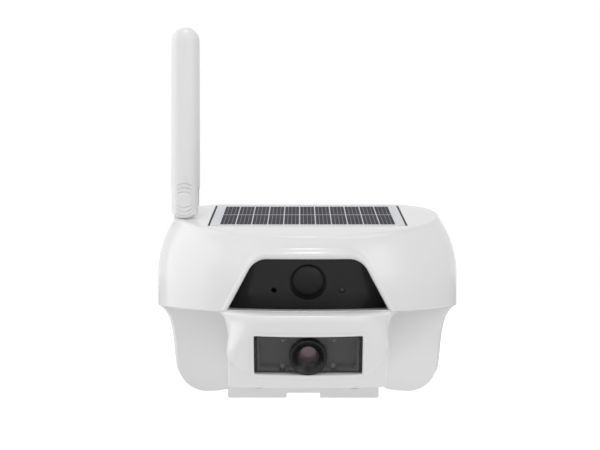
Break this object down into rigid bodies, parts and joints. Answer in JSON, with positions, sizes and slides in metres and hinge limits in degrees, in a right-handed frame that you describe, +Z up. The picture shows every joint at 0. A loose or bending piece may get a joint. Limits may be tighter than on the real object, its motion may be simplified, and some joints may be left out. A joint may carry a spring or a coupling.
{
  "type": "solar security camera",
  "caption": "Hooded outdoor camera with a sloped solar panel, black motion-sensor window, smoked lens window and folding stick antenna, hung on a wall plate.",
  "frame": {"origin": "on the wall face: centre height of the wall plate's back, on the camera's middle plane", "axes": "+Z up, +Y into the wall, -Y the way the camera looks, +X to the right seen from the front"},
  "size_m": [0.176, 0.1196, 0.2236],
  "materials": {
    "white_plate": "fine matt texture",
    "white_shell": "smooth satin, softly glossy",
    "seal_rubber": "matt",
    "panel_white": "smooth matt",
    "cell_silicon": "dark silicon with thin light lines",
    "panel_film": "clear, glossy",
    "cable_black": "matt",
    "black_gloss": "polished",
    "dome_black": "smooth satin",
    "can_steel": "plain metal shell",
    "lamp_clear": "clear moulding",
    "board_green": "lacquered board",
    "smoked_clear": "polished, smoked",
    "tray_grey": "matt",
    "barrel_black": "fine satin",
    "lens_glass": "coated, polished",
    "chip_black": "moulded, unprinted",
    "ribbon_amber": "thin polyimide film",
    "flap_rubber": "soft matt rubber",
    "cell_wrap": "plain shrink wrap",
    "speaker_black": "matt",
    "screw_steel": "zinc plated",
    "white_antenna": "satin",
    "pin_steel": "ground pin",
    "element_brass": "plain brass sleeve"
  },
  "bodies": {
    "wall_plate": {"wall_plate": "white_plate"},
    "housing": {"top_shell": "white_shell", "rear_shell": "white_shell", "shell_seal": "seal_rubber", "solar_board": "panel_white", "solar_cells": "cell_silicon", "solar_film": "panel_film", "panel_seals": "seal_rubber", "solar_lead": "cable_black", "sensor_window": "black_gloss", "motion_dome": "dome_black", "motion_sensor": "can_steel", "status_light": "lamp_clear", "microphone": "dome_black", "sensor_board": "board_green", "lens_window": "smoked_clear", "led_tray": "tray_grey", "infrared_leds": "lamp_clear", "infrared_board": "board_green", "lens_barrel": "barrel_black", "lens_seal": "seal_rubber", "front_lens": "lens_glass", "inner_lens": "lens_glass", "camera_board": "board_green", "image_sensor": "chip_black", "camera_ribbon": "ribbon_amber", "main_board": "board_green", "board_chips": "chip_black", "wifi_module": "can_steel", "usb_socket": "can_steel", "card_socket": "can_steel", "memory_card": "chip_black", "battery_cells": "cell_wrap", "battery_tray": "tray_grey", "speaker": "speaker_black", "housing_screws": "screw_steel", "antenna_base": "white_antenna", "antenna_nut": "screw_steel", "antenna_cable": "cable_black"},
    "antenna": {"antenna_tube": "white_antenna", "antenna_pin": "pin_steel", "antenna_element": "element_brass"},
    "port_flap": {"port_cover": "flap_rubber"},
    "switch_slider": {"power_switch": "dome_black"},
    "reset_key": {"reset_button": "dome_black"}
  },
  "joints": [
    {"name": "lift_off_plate", "type": "slide", "parent": "wall_plate", "child": "housing", "axis": [0, 0, 1], "range_m": [0, 0.012]},
    {"name": "antenna_fold", "type": "hinge", "parent": "housing", "child": "antenna", "pos_m": [-0.0712, -0.05, 0.077], "axis": [0, 1, 0], "range_deg": [-90, 90]},
    {"name": "flap_hinge", "type": "hinge", "parent": "housing", "child": "port_flap", "pos_m": [0, -0.045, -0.0289], "axis": [1, 0, 0], "range_deg": [0, 90]},
    {"name": "switch_slide", "type": "slide", "parent": "housing", "child": "switch_slider", "axis": [1, 0, 0], "range_m": [0, 0.002]},
    {"name": "reset_press", "type": "slide", "parent": "housing", "child": "reset_key", "axis": [0, 0, 1], "range_m": [0, 0.0008], "stiffness_N_per_m": 200, "springref_m": -0.0002}
  ]
}
